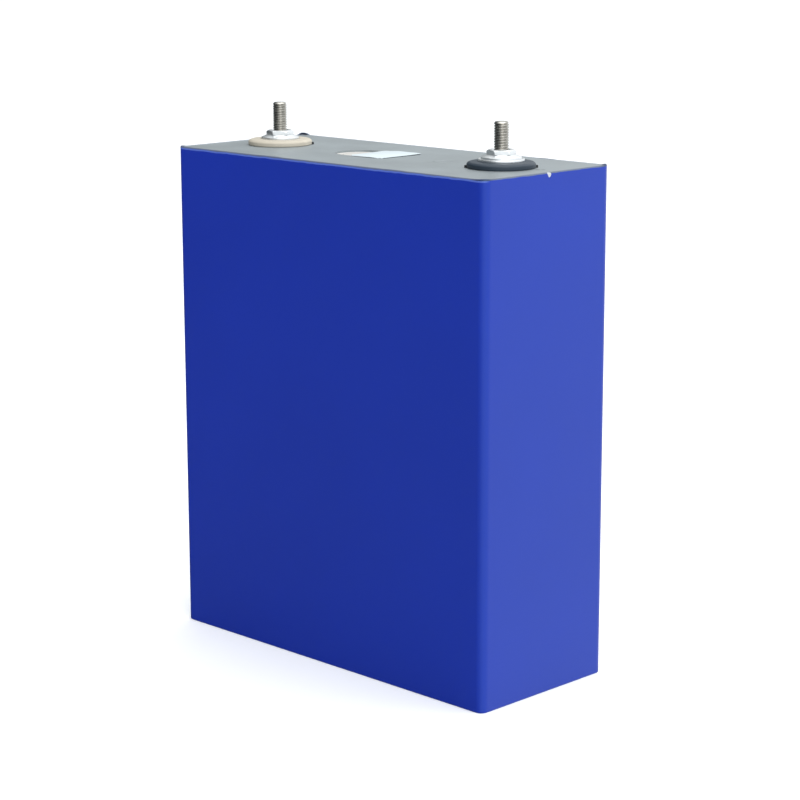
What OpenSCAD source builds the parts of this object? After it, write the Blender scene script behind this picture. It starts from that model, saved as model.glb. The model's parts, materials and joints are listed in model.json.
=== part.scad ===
// Prismatic battery cell: an aluminium can in a blue film, with two M6 stud terminals.
// Millimetres, +Z up. The origin is the centre of the underside.
// The broad faces look along Y, and the terminals stand on the X axis.

/* [Cell body] */
// Width of the wrapped cell, across its narrow sides
cell_w = 174; // [160:0.5:200]
// Depth of the wrapped cell, across its broad faces
cell_d = 71.5; // [60:0.5:90]
// Height of the wrapped cell, up to the film's top edge
cell_h = 204.8; // [150:0.2:260]
// Radius of the upright corners, outside the film
corner_r = 3.4; // [2.6:0.1:6]
// Thickness of the blue film
film_t = 0.2; // [0.1:0.05:0.4]
// Thickness of the film folded under the can
film_base_t = 0.3; // [0.2:0.05:0.6]
// Height of the film's top edge above the lid
film_lip = 0.1; // [0.05:0.05:0.6]
// Wall of the drawn aluminium can
can_wall = 0.8; // [0.5:0.1:1.4]
// Floor of the can
can_floor = 1.5; // [1:0.1:3]

/* [Lid] */
// Thickness of the lid plate
lid_t = 3; // [2.4:0.1:5]
// Middle of the vent recess, from the middle of the lid
vent_x = -9; // [-15:0.5:10]
// Length of the vent recess, along X
vent_l = 31.5; // [26:0.5:36]
// Width of the vent recess, along Y
vent_w = 20; // [14:0.5:24]
// Depth of the vent recess, from the lid's top to the burst disc
vent_depth = 0.8; // [0.4:0.1:1]
// Thickness of the burst disc
vent_disc_t = 0.4; // [0.3:0.05:0.6]
// Width of the ledge that carries the burst disc
vent_ledge = 2.5; // [1.5:0.1:4]
// Width of the protective film over the vent, along X
vent_film_w = 18; // [10:0.5:28]
// Length of the protective film over the vent, along Y
vent_film_l = 23; // [16:0.5:32]
// Distance of the electrolyte port from the middle of the lid
fill_x = 32; // [30:0.5:42]
// Radius of the electrolyte port's bore
fill_r = 1.6; // [1.2:0.1:2.2]
// Radius of the welded cap over the port
fill_cap_r = 4; // [3:0.1:5]
// Thickness of the welded cap over the port
fill_cap_t = 1; // [0.6:0.1:1.2]

/* [Terminals] */
// Distance between the two studs
stud_pitch = 125; // [115:0.5:130]
// Side of the square gasket on the lid
gasket_w = 20.2; // [18:0.1:21]
// Thickness of the square gasket
gasket_h = 1; // [0.6:0.1:1.4]
// Outer radius of the plastic ring
ring_r = 13.3; // [12:0.1:15]
// Height of the plastic ring and the contact face above the lid
ring_h = 2.6; // [2.5:0.1:4]
// Rounding of the plastic ring's rim
ring_round = 0.9; // [0.4:0.1:0.9]
// Radius of the terminal's contact face, inside the ring
pad_r = 8; // [7:0.1:8.6]
// Radius of the pole that passes through the lid
pole_r = 5; // [4.5:0.1:5.5]
// Radius of the hole in the lid for the pole and its seal
pole_hole_r = 6.3; // [6:0.1:7]

/* [Stud and nut] */
// Radius of the M6 stud over its thread crests
stud_r = 3; // [2.5:0.5:3]
// Free length of the stud above the contact face
stud_len = 15; // [13:0.5:17]
// Chamfer at the stud's tip
stud_chamfer = 0.6; // [0.3:0.1:0.8]
// Radius of the stud's welded foot
stud_foot_r = 4.4; // [3.6:0.1:4.6]
// Thickness of the stud's welded foot
stud_foot_h = 1; // [0.6:0.1:1]
// Outer radius of the flat washer, on the negative terminal only
washer_r = 9; // [8.2:0.1:9.8]
// Radius of the flat washer's hole
washer_hole_r = 3.2; // [3.2:0.05:3.4]
// Thickness of the flat washer
washer_t = 0.9; // [0.6:0.1:1.2]
// Outer radius of the conical washer that is captive on the nut
cone_r = 7.8; // [7.2:0.1:8.2]
// Height of the conical washer
cone_h = 1.75; // [1.5:0.05:2]
// Thickness of the conical washer at its rim
cone_rim = 0.7; // [0.5:0.1:1]
// Width of the hexagon across its flats
nut_af = 10; // [9:0.5:11]
// Height of the hexagon, above the conical washer
hex_h = 1.75; // [1.6:0.05:3]
// Radius of the nut's collar, which the conical washer turns on
collar_r = 4.2; // [4:0.05:4.3]
// Turn of the hexagon about the stud, in degrees
nut_turn = -15; // [-30:1:30]
// Radial play between the nut and the stud
thread_play = 0.05; // [0.02:0.01:0.1]

/* [Inside] */
// Thickness of the plastic plate under the lid
insulator_t = 1.5; // [1:0.1:2.5]
// Thickness of the current collector plates
collector_t = 1.5; // [1:0.1:2]
// Height of the wound cores with their outer wrap
core_h = 187; // [130:1:187]
// Thickness of the separator wrap round each core
wrap_t = 0.3; // [0.2:0.05:0.6]
// Distance that the wrap stands past the electrodes at each end
wrap_over = 1.5; // [1:0.1:3]
// Thickness of the insulation bag
bag_t = 0.3; // [0.2:0.05:0.5]
// Thickness of the tray under the cores
tray_t = 1; // [0.6:0.1:2]
// Number of foil leaves in each tab stack
tab_leaves = 6; // [3:1:8]
// Width of each tab stack, along X
tab_w = 28; // [18:1:30]

/* [Hidden] */
$fn = 96;
eps = 0.01;
port_fn = 48;              // facets of the electrolyte port's parts
gap = 0.1;                 // assembly play between sealed inner pieces

// heights, from the underside up
floor_top = film_base_t + can_floor;
tray_z = floor_top + bag_t;
core_z = tray_z + tray_t;
lid_top = cell_h - film_lip;
lid_z = lid_top - lid_t;
insulator_z = lid_z - insulator_t;
collector_z = insulator_z - collector_t;
rivet_h = 0.8;
rivet_edge = [0.5, 0.4];   // chamfer on the rivet's end, inwards and up
vent_film_t = 0.15;
rivet_z = collector_z - rivet_h;
gasket_top = lid_top + gasket_h;
contact_z = lid_top + ring_h;
washer_top = contact_z + washer_t;
stud_tip = contact_z + stud_len;

// can
can_w = cell_w - 2 * film_t;
can_d = cell_d - 2 * film_t;
can_r = corner_r - film_t;
mouth_w = can_w - 2 * can_wall;
mouth_d = can_d - 2 * can_wall;
mouth_r = can_r - can_wall;

// terminals
pos = -1;                  // the positive terminal stands on the -X side
neg = 1;
stud_x = stud_pitch / 2;
rivet_r = 6.5;
gasket_corner_r = 0.4;
gasket_cut = 12.4;         // distance from the stud to the gasket's cut corners
ring_flat_r = 9.4;         // where the ring's flat top begins to round off
free_z = nut_top(neg) + 0.35;   // the stud has its full size from here to its chamfer
relief = 0.2;              // radius lost on the stud below the free end
lead_in = 0.45;            // countersink at both ends of the nut
nut_bore_r = stud_r + thread_play;
nut_r = nut_af / 2 / cos(30);
corner_cut = 0.35;         // chamfer on the corners of the hexagon
cone_top_r = 5;            // flat top of the conical washer, under the hexagon
cone_bore_r = collar_r + 0.08;
lip_r = collar_r + 0.25;   // flared end of the collar, which holds the conical washer
lip_z = 0.2;               // height of the flared end above the seat
lip_h = 0.3;
pocket_r = collar_r + 0.5; // pocket in the conical washer for the flared end
pocket_h = 0.55;

// inside
front = -1;                // the front core lies on the -Y side
rear = 1;
bag_w = mouth_w - 2 * gap;
bag_d = mouth_d - 2 * gap;
bag_r = mouth_r - gap;
bag_in_w = bag_w - 2 * bag_t;
bag_in_d = bag_d - 2 * bag_t;
core_gap = 2 * gap;
core_t = (bag_in_d - 3 * core_gap) / 2;
core_w = bag_in_w - 2 * core_gap;
core_y = (core_t + core_gap) / 2;
electrode_z = core_z + wrap_over;
electrode_top = core_z + core_h - wrap_over;
mandrel_w = 1.6;           // slot left by the winding mandrel
mandrel_l = core_w - core_t;
tape_t = 0.1;
tape_w = 20;
tape_l = 60;
tape_z = 90;               // lower end of the strips of tape
tape_pitch = 50;
tab_x = 37;                // middle of each tab stack
tab_base = 14;             // spread of the leaves where they leave the core
leaf_t = 0.6;
tab_foot_t = 1.2;
tab_foot_l = 11;
tab_neck = 3;              // height of the gathered leaves under the foot
collector_l = 58;
collector_d = 48;
collector_x = 49;          // middle of each collector plate
collector_corner_r = 3;
fuse_in = 9;               // distance from the stud to the slot that forms the fuse neck
fuse_l = 24;
fuse_w = 2.4;
fill_way_r = 3;            // way for the electrolyte below the port
bag_over = 2;              // height of the bag above the cores
tray_hole_r = 4;
tray_hole_pitch = 30;

// ---- shared shapes ----

// Rectangle with round corners, centred
module round_rect(w, d, r) {
    square([w - 2 * r, d], center = true);
    square([w, d - 2 * r], center = true);
    for (x = [-1, 1], y = [-1, 1])
        translate([x * (w / 2 - r), y * (d / 2 - r)]) circle(r);
}

// Slot with half-round ends, long side along X, centred
module stadium(l, w) {
    square([l - w, w], center = true);
    for (x = [-1, 1]) translate([x * (l - w) / 2, 0]) circle(w / 2);
}

// Puts its children, a 2D outline, between two heights
module between(z0, z1) {
    translate([0, 0, z0]) linear_extrude(z1 - z0) children();
}

// Turns a profile of [radius, height] points about the stud on one side
module turned(side, profile) {
    translate([side * stud_x, 0, 0]) rotate_extrude() polygon(profile);
}

// Points of an arc from angle a0 to a1
function arc(x, y, r, a0, a1, n = 8) =
    [for (i = [0:n]) let (a = a0 + (a1 - a0) * i / n) [x + r * cos(a), y + r * sin(a)]];

// Height that the nut's washer stands on: a flat washer or the bare contact face
function seat(side) = side == neg ? washer_top : contact_z;
function nut_top(side) = seat(side) + cone_h + hex_h;

// ---- wrapped case ----

// Film round the four sides; its top edge stands just above the lid
module film_sleeve() {
    color([0.09, 0.18, 0.6])
    between(film_base_t, cell_h) difference() {
        round_rect(cell_w, cell_d, corner_r);
        round_rect(can_w, can_d, can_r);
    }
}

// Film folded under the can, which the cell stands on
module film_base() {
    color([0.07, 0.14, 0.5]) between(0, film_base_t) round_rect(cell_w, cell_d, corner_r);
}

// Drawn can, open at the top
module can() {
    color([0.78, 0.8, 0.82]) difference() {
        between(film_base_t, lid_top) round_rect(can_w, can_d, can_r);
        between(floor_top, lid_top + 1) round_rect(mouth_w, mouth_d, mouth_r);
    }
}

// Lid welded into the can's mouth
module lid_plate() {
    ledge_z = lid_top - vent_depth - vent_disc_t;
    color([0.67, 0.71, 0.73]) difference() {
        between(lid_z, lid_top) round_rect(mouth_w, mouth_d, mouth_r);
        for (side = [pos, neg])
            translate([side * stud_x, 0, lid_z - 1]) cylinder(r = pole_hole_r, h = lid_t + 2);
        translate([vent_x, 0]) {
            between(ledge_z, lid_top + 1) stadium(vent_l, vent_w);
            between(lid_z - 1, lid_top + 1)
                stadium(vent_l - 2 * vent_ledge, vent_w - 2 * vent_ledge);
        }
        translate([fill_x, 0, lid_z - 1]) cylinder(r = fill_r, h = lid_t + 2, $fn = port_fn);
        translate([fill_x, 0, lid_top - fill_cap_t])
            cylinder(r = fill_cap_r, h = fill_cap_t + 1, $fn = port_fn);
    }
}

// Burst disc, thinned by a scored groove so that it opens at a set pressure
module vent_disc() {
    disc_top = lid_top - vent_depth;
    score_in = 2 * vent_ledge + 0.6;   // the score runs just inside the ledge
    score_w = 0.5;
    color([0.86, 0.87, 0.86]) translate([vent_x, 0]) difference() {
        between(disc_top - vent_disc_t, disc_top) stadium(vent_l, vent_w);
        between(disc_top - vent_disc_t / 2, disc_top + 1) difference() {
            stadium(vent_l - score_in, vent_w - score_in);
            stadium(vent_l - score_in - 2 * score_w, vent_w - score_in - 2 * score_w);
        }
    }
}

// Protective film stuck over the vent
module vent_film() {
    color("white")
    between(lid_top, lid_top + vent_film_t) square([vent_film_w, vent_film_l], center = true);
}

// Rubber stopper in the electrolyte port
module fill_stopper() {
    color([0.15, 0.15, 0.16])
    translate([fill_x, 0, lid_z]) cylinder(r = fill_r, h = lid_t - fill_cap_t, $fn = port_fn);
}

// Flush cap welded over the electrolyte port
module fill_cap() {
    color([0.7, 0.73, 0.75])
    translate([fill_x, 0, lid_top - fill_cap_t])
        cylinder(r = fill_cap_r, h = fill_cap_t, $fn = port_fn);
}

// ---- terminals ----

// Outline of the gasket: a square that keeps one corner as an ear on the positive
// terminal, and two opposite corners on the negative one
module gasket_outline(side) {
    back = side == neg ? gasket_w : gasket_cut;
    intersection() {
        round_rect(gasket_w, gasket_w, gasket_corner_r);
        rotate(45) translate([-back, -gasket_cut])
            square([back + gasket_w, 2 * gasket_cut]);
    }
}

// Gasket on the lid, which nests in the ring
module gasket(side) {
    color([0.07, 0.07, 0.08])
    translate([side * stud_x, 0, lid_top]) difference() {
        linear_extrude(gasket_h) gasket_outline(side);
        translate([0, 0, -1]) cylinder(r = pole_r, h = gasket_h + 2);
    }
}

// Seal round the pole, inside the lid's hole
module seal(side) {
    color([0.12, 0.12, 0.13]) turned(side, [
        [pole_r, lid_z], [pole_hole_r, lid_z], [pole_hole_r, lid_top], [pole_r, lid_top]
    ]);
}

// Plastic ring with a rounded rim, round the contact face. The gasket nests in a pocket
// underneath, and its ears show through the ring's wall.
module ring(side) {
    drop = 0.25;           // fall of the top from the washer to the rim
    rim_end = 84;          // angle at which the rim meets the sloping top
    rim = ring_r - ring_round;
    difference() {
        turned(side, concat(
            [[pad_r, lid_top]],
            arc(rim, lid_top + ring_round, ring_round, -90, 0),
            arc(rim, contact_z - drop - ring_round, ring_round, 0, rim_end),
            [[ring_flat_r, contact_z], [pad_r, contact_z]]
        ));
        translate([side * stud_x, 0, lid_top - 1]) linear_extrude(gasket_h + 1)
            gasket_outline(side);
    }
}

// Pole with its contact pad, riveted over under the collector
module post(side) {
    turned(side, [
        [0, rivet_z], [rivet_r - rivet_edge[0], rivet_z],
        [rivet_r, rivet_z + rivet_edge[1]], [rivet_r, collector_z],
        [pole_r, collector_z], [pole_r, gasket_top], [pad_r, gasket_top], [pad_r, contact_z],
        [stud_foot_r, contact_z], [stud_foot_r, contact_z - stud_foot_h],
        [0, contact_z - stud_foot_h]
    ]);
}

// Stud with its foot welded into the pad
module stud(side) {
    color([0.62, 0.61, 0.58]) turned(side, [
        [0, contact_z - stud_foot_h], [stud_foot_r, contact_z - stud_foot_h],
        [stud_foot_r, contact_z], [stud_r - relief, contact_z], [stud_r - relief, free_z],
        [stud_r, free_z + relief], [stud_r, stud_tip - stud_chamfer],
        [stud_r - stud_chamfer, stud_tip], [0, stud_tip]
    ]);
}

// Conical washer with a pocket underneath, which rides up with the nut
module cone_washer(side) {
    z = seat(side);
    edge = 0.1;
    color([0.86, 0.87, 0.88]) turned(side, [
        [pocket_r, z], [cone_r - edge, z], [cone_r, z + edge], [cone_r, z + cone_rim - edge],
        [cone_r - edge, z + cone_rim], [cone_top_r, z + cone_h], [cone_bore_r, z + cone_h],
        [cone_bore_r, z + pocket_h], [pocket_r, z + pocket_h]
    ]);
}

// Hexagon with a collar that turns in the conical washer, bored to run on the stud
module nut(side) {
    z = seat(side) + lip_z;
    top = nut_top(side);
    hex_z = top - hex_h;
    color([0.88, 0.89, 0.9]) difference() {
        union() {
            turned(side, [
                [0, z], [lip_r, z], [lip_r, z + lip_h / 2], [collar_r, z + lip_h],
                [collar_r, hex_z + eps], [0, hex_z + eps]
            ]);
            intersection() {
                translate([side * stud_x, 0, hex_z]) rotate(nut_turn)
                    cylinder(r = nut_r, h = hex_h, $fn = 6);
                turned(side, [
                    [0, hex_z - 1], [nut_r + 1, hex_z - 1], [nut_r + 1, top - corner_cut - 0.5],
                    [nut_af / 2 - 0.1, top], [0, top]
                ]);
            }
        }
        translate([side * stud_x, 0, z - 1]) cylinder(r = nut_bore_r, h = top - z + 2);
        turned(side, [
            [0, top + 1], [0, top - lead_in], [nut_bore_r, top - lead_in],
            [nut_bore_r + lead_in, top], [nut_bore_r + lead_in, top + 1]
        ]);
        turned(side, [
            [0, z - 1], [nut_bore_r + lead_in, z - 1], [nut_bore_r + lead_in, z],
            [nut_bore_r, z + lead_in], [0, z + lead_in]
        ]);
    }
}

// Flat washer under the negative terminal's nut
module neg_washer() {
    edge = 0.15;
    color([0.85, 0.86, 0.87]) turned(neg, [
        [washer_hole_r, contact_z], [washer_r - edge, contact_z], [washer_r, contact_z + edge],
        [washer_r, washer_top - edge], [washer_r - edge, washer_top],
        [washer_hole_r, washer_top]
    ]);
}

module pos_gasket() { gasket(pos); }
module neg_gasket() { gasket(neg); }
module pos_seal() { seal(pos); }
module neg_seal() { seal(neg); }
module pos_ring() { color([0.88, 0.84, 0.74]) ring(pos); }
module neg_ring() { color([0.15, 0.18, 0.22]) ring(neg); }
module pos_post() { color([0.8, 0.81, 0.82]) post(pos); }
module neg_post() { color([0.8, 0.6, 0.45]) post(neg); }
module pos_stud() { stud(pos); }
module neg_stud() { stud(neg); }
module pos_cone_washer() { cone_washer(pos); }
module neg_cone_washer() { cone_washer(neg); }
module pos_nut() { nut(pos); }
module neg_nut() { nut(neg); }

// ---- inside ----

// Plastic plate under the lid, with a grille that keeps the cores off the vent
module lid_insulator() {
    slots = 5;
    slot_pitch = 5;
    slot_w = 2;
    slot_l = 12;
    color([0.9, 0.91, 0.92]) difference() {
        between(insulator_z, lid_z)
            round_rect(mouth_w - 2 * gap, mouth_d - 2 * gap, mouth_r - gap);
        for (side = [pos, neg])
            translate([side * stud_x, 0, insulator_z - 1])
                cylinder(r = pole_r + gap, h = insulator_t + 2);
        for (i = [0:slots - 1])
            translate([vent_x + (i - (slots - 1) / 2) * slot_pitch - slot_w / 2, -slot_l / 2,
                       insulator_z - 1])
                cube([slot_w, slot_l, insulator_t + 2]);
        translate([fill_x, 0, insulator_z - 1])
            cylinder(r = fill_way_r, h = insulator_t + 2, $fn = port_fn);
    }
}

// Plate that joins the tab stacks to the pole, with a slot that forms a fuse neck.
// The plate under the electrolyte port lets the electrolyte through.
module collector(side) {
    between(collector_z, insulator_z) difference() {
        translate([side * collector_x, 0])
            round_rect(collector_l, collector_d, collector_corner_r);
        translate([side * stud_x, 0]) circle(pole_r);
        translate([side * (stud_x - fuse_in), 0]) rotate(90) stadium(fuse_l, fuse_w);
        if (side > 0) translate([fill_x, 0]) circle(fill_way_r, $fn = port_fn);
    }
}

module pos_collector() { color([0.8, 0.81, 0.82]) collector(pos); }
module neg_collector() { color([0.8, 0.48, 0.3]) collector(neg); }

// Insulation bag between the cores and the can, open at the top
module insulation_bag() {
    bag_top = core_z + core_h + bag_over;
    color([0.55, 0.75, 0.85, 0.6]) difference() {
        between(floor_top, bag_top) round_rect(bag_w, bag_d, bag_r);
        between(tray_z, bag_top + 1) round_rect(bag_in_w, bag_in_d, bag_r - bag_t);
    }
}

// Perforated tray that holds the cores off the floor of the bag
module bottom_tray() {
    color([0.92, 0.92, 0.9]) between(tray_z, core_z) difference() {
        round_rect(bag_in_w - 2 * gap, bag_in_d - 2 * gap, bag_r - bag_t);
        for (x = [-2:2], row = [front, rear])
            translate([x * tray_hole_pitch, row * core_y]) circle(tray_hole_r);
    }
}

// Wound electrodes, with the mandrel's slot through the middle
module core(row) {
    color([0.2, 0.2, 0.22])
    translate([0, row * core_y, 0]) between(electrode_z, electrode_top) difference() {
        stadium(core_w - 2 * wrap_t, core_t - 2 * wrap_t);
        stadium(mandrel_l, mandrel_w);
    }
}

// Outer turns of separator, which stand past the electrodes at both ends
module wrap(row) {
    color([0.93, 0.93, 0.9])
    translate([0, row * core_y, 0]) between(core_z, core_z + core_h) difference() {
        stadium(core_w, core_t);
        stadium(core_w - 2 * wrap_t, core_t - 2 * wrap_t);
    }
}

// Three strips that hold the end of the separator
module tape(row) {
    face_y = row * (core_y + core_t / 2);
    color([0.2, 0.55, 0.35])
    for (x = [-1:1])
        translate([x * tape_pitch - tape_w / 2, min(face_y, face_y + row * tape_t), tape_z])
            cube([tape_w, tape_t, tape_l]);
}

// Foil leaves that rise from a core, gather and turn under the collector
module tabs(row, side) {
    neck_z = collector_z - tab_neck;
    spread = tab_base / (tab_leaves - 1);
    translate([side * tab_x - tab_w / 2, row * core_y, 0])
    rotate([90, 0, 90]) linear_extrude(tab_w) union() {
        for (i = [0:tab_leaves - 1]) {
            y = i * spread - tab_base / 2;
            polygon([
                [y - leaf_t / 2, electrode_top], [y + leaf_t / 2, electrode_top],
                [leaf_t, neck_z], [-leaf_t, neck_z]
            ]);
        }
        translate([-leaf_t, neck_z - eps]) square([2 * leaf_t, tab_neck + eps]);
        translate([row > 0 ? leaf_t - tab_foot_l : -leaf_t, collector_z - tab_foot_t])
            square([tab_foot_l, tab_foot_t]);
    }
}

module front_core() { core(front); }
module rear_core() { core(rear); }
module front_wrap() { wrap(front); }
module rear_wrap() { wrap(rear); }
module front_tape() { tape(front); }
module rear_tape() { tape(rear); }
module front_pos_tabs() { color([0.82, 0.83, 0.85]) tabs(front, pos); }
module front_neg_tabs() { color([0.82, 0.5, 0.32]) tabs(front, neg); }
module rear_pos_tabs() { color([0.82, 0.83, 0.85]) tabs(rear, pos); }
module rear_neg_tabs() { color([0.82, 0.5, 0.32]) tabs(rear, neg); }

film_sleeve();
film_base();
can();
lid_plate();
vent_disc();
vent_film();
fill_stopper();
fill_cap();
pos_gasket();
pos_seal();
pos_ring();
pos_post();
pos_stud();
pos_cone_washer();
pos_nut();
neg_gasket();
neg_seal();
neg_ring();
neg_post();
neg_stud();
neg_washer();
neg_cone_washer();
neg_nut();
lid_insulator();
pos_collector();
neg_collector();
insulation_bag();
bottom_tray();
front_core();
front_wrap();
front_tape();
front_pos_tabs();
front_neg_tabs();
rear_core();
rear_wrap();
rear_tape();
rear_pos_tabs();
rear_neg_tabs();
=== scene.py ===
"""Prismatic battery cell: the visual model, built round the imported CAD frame."""
import json
import math

import bmesh
import bpy
from mathutils import Euler, Matrix, Vector

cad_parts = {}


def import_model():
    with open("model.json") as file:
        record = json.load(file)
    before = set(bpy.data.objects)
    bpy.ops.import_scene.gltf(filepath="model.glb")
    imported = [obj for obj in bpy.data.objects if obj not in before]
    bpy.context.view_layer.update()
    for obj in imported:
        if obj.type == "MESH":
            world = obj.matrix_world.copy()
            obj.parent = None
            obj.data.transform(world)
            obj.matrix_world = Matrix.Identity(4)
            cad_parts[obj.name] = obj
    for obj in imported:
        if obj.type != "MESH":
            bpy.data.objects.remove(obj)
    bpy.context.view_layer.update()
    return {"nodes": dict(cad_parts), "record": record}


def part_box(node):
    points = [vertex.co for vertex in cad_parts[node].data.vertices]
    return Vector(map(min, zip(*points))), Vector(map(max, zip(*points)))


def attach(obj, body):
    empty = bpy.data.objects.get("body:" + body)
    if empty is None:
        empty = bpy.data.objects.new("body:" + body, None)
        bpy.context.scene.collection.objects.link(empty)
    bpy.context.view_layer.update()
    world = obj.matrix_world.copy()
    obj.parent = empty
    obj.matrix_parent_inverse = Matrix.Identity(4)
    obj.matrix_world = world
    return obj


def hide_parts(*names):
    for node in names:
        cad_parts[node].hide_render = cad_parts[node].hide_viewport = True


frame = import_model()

MM = 0.001


# ---- sizes, read from the frame, in millimetres ----

def node_box(node):
    low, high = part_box(node)
    return [v / MM for v in low], [v / MM for v in high]


FILM_LOW, FILM_HIGH = node_box("film_sleeve")
LID_HIGH = node_box("lid_plate")[1]
CAN_LOW, CAN_HIGH = node_box("can")
HALF_W, HALF_D, FILM_TOP = FILM_HIGH
BASE_T = FILM_LOW[2]
LID_TOP = LID_HIGH[2]
FILM_T = HALF_W - CAN_HIGH[0]
CAN_WALL = CAN_HIGH[0] - LID_HIGH[0]
CORNER_R = 3.4        # upright corners, outside the film


def centre_x(node):
    low, high = node_box(node)
    return (low[0] + high[0]) / 2


def radius(node):
    low, high = node_box(node)
    return (high[0] - low[0]) / 2


# ---- mesh helpers; every length is in millimetres ----

def new_object(name, verts, faces, body, material, sharp=35.0, weighted=True):
    """A mesh piece with smooth shading that breaks at edges sharper than the angle."""
    mesh = bpy.data.meshes.new(name)
    mesh.from_pydata([Vector(v) * MM for v in verts], [], faces)
    bm = bmesh.new()
    bm.from_mesh(mesh)
    bmesh.ops.remove_doubles(bm, verts=bm.verts, dist=1e-7)
    bmesh.ops.dissolve_degenerate(bm, edges=bm.edges, dist=1e-8)
    bmesh.ops.recalc_face_normals(bm, faces=bm.faces)
    bm.to_mesh(mesh)
    bm.free()
    for p in mesh.polygons:
        p.use_smooth = True
    mesh.set_sharp_from_angle(angle=math.radians(sharp))
    obj = bpy.data.objects.new(name, mesh)
    bpy.context.scene.collection.objects.link(obj)
    mesh.materials.append(material)
    if weighted:
        mod = obj.modifiers.new("normals", "WEIGHTED_NORMAL")
        mod.keep_sharp = True
    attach(obj, body)
    return obj


def loft(rings, closed=True):
    """Vertices and faces of a grid of rings, each a closed loop of as many points."""
    n = len(rings[0])
    verts = [p for ring in rings for p in ring]
    faces = []
    for i in range(len(rings) if closed else len(rings) - 1):
        a, b = i * n, (i + 1) % len(rings) * n
        for k in range(n):
            m = (k + 1) % n
            faces.append((a + k, a + m, b + m, b + k))
    return verts, faces


def fillet(points, radii, steps=5):
    """Rounds the corners of a closed 2D outline. radii has one value for each corner."""
    out = []
    n = len(points)
    for i, (p, r) in enumerate(zip(points, radii)):
        p = Vector(p)
        if r <= 0:
            out.append(tuple(p))
            continue
        a = (Vector(points[i - 1]) - p)
        b = (Vector(points[(i + 1) % n]) - p)
        la, lb = a.length, b.length
        a, b = a / la, b / lb
        half = math.acos(max(-1, min(1, a.dot(b)))) / 2
        back = min(r / math.tan(half), la * 0.49, lb * 0.49)
        rr = back * math.tan(half)
        mid = (a + b).normalized() * (rr / math.sin(half)) + p
        p0, p1 = p + a * back - mid, p + b * back - mid
        angle = p0.angle_signed(p1)
        for k in range(steps + 1):
            t = -angle * k / steps
            c, s = math.cos(t), math.sin(t)
            out.append((mid.x + p0.x * c - p0.y * s, mid.y + p0.x * s + p0.y * c))
    return out


def lathe(name, profile, x, body, material, n=160):
    """Turns a closed profile of (radius, height) about the upright axis at x."""
    rings = []
    for k in range(n):
        a = 2 * math.pi * k / n
        c, s = math.cos(a), math.sin(a)
        rings.append([(x + r * c, r * s, z) for r, z in profile])
    verts, faces = loft(rings)
    return new_object(name, verts, faces, body, material)


def rounded_loop(half_w, half_d, r, inset, arc=10, step=4.0):
    """Points round a rectangle with round corners, shrunk by inset. The count does not
    depend on the inset, so that loops can be lofted."""
    out = []
    w, d, rr = half_w - inset, half_d - inset, max(r - inset, 0.05)
    nx = max(2, round(2 * (half_w - r) / step))
    ny = max(2, round(2 * (half_d - r) / step))
    corners = [(1, 1, 0), (-1, 1, 90), (-1, -1, 180), (1, -1, 270)]
    for i, (sx, sy, a0) in enumerate(corners):
        cx, cy = sx * (w - rr), sy * (d - rr)
        for k in range(arc + 1):
            a = math.radians(a0 + 90 * k / arc)
            out.append((cx + rr * math.cos(a), cy + rr * math.sin(a)))
        tx, ty = corners[(i + 1) % 4][:2]
        a = math.radians(a0 + 90)
        start = out[-1]
        end = (tx * (w - rr) + rr * math.cos(a), ty * (d - rr) + rr * math.sin(a))
        count = nx if i % 2 == 0 else ny
        for k in range(1, count):
            t = k / count
            out.append((start[0] + (end[0] - start[0]) * t, start[1] + (end[1] - start[1]) * t))
    return out


def smooth_step(t):
    t = max(0.0, min(1.0, t))
    return t * t * (3 - 2 * t)


# ---- materials ----

def material(name, color, roughness, metallic=0.0, specular=0.5):
    """A material whose shader holds the plain values. Returns it with its nodes."""
    m = bpy.data.materials.new(name)
    m.use_nodes = True
    nodes, links = m.node_tree.nodes, m.node_tree.links
    shader = nodes["Principled BSDF"]
    shader.inputs["Base Color"].default_value = (*color, 1)
    shader.inputs["Roughness"].default_value = roughness
    shader.inputs["Metallic"].default_value = metallic
    shader.inputs["Specular IOR Level"].default_value = specular
    return m, nodes, links, shader


def coords(nodes, links, scale=(1, 1, 1)):
    """Object coordinates in metres, stretched by scale."""
    tc = nodes.new("ShaderNodeTexCoord")
    mp = nodes.new("ShaderNodeMapping")
    mp.inputs["Scale"].default_value = scale
    links.new(tc.outputs["Object"], mp.inputs["Vector"])
    return mp.outputs["Vector"]


def noise(nodes, links, vector, scale, detail=4.0, rough=0.55, distortion=0.0):
    t = nodes.new("ShaderNodeTexNoise")
    t.inputs["Scale"].default_value = scale
    t.inputs["Detail"].default_value = detail
    t.inputs["Roughness"].default_value = rough
    t.inputs["Distortion"].default_value = distortion
    links.new(vector, t.inputs["Vector"])
    return t.outputs["Fac"]


def remap(nodes, links, value, low, high, start=0.3, stop=0.7):
    r = nodes.new("ShaderNodeMapRange")
    r.inputs["From Min"].default_value = start
    r.inputs["From Max"].default_value = stop
    r.inputs["To Min"].default_value = low
    r.inputs["To Max"].default_value = high
    links.new(value, r.inputs["Value"])
    return r.outputs["Result"]


def ramp(nodes, links, value, stops):
    r = nodes.new("ShaderNodeValToRGB")
    e = r.color_ramp.elements
    while len(e) < len(stops):
        e.new(0.5)
    for k, (at, color) in enumerate(stops):
        e[k].position = at
        e[k].color = (*color, 1)
    links.new(value, r.inputs["Fac"])
    return r.outputs["Color"]


def mix_color(nodes, links, factor, first, color):
    """Goes from the linked first colour to a plain one as the factor rises."""
    mix = nodes.new("ShaderNodeMix")
    mix.data_type = "RGBA"
    links.new(factor, mix.inputs["Factor"])
    links.new(first, mix.inputs["A"])
    mix.inputs["B"].default_value = (*color, 1)
    return mix.outputs["Result"]


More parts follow.
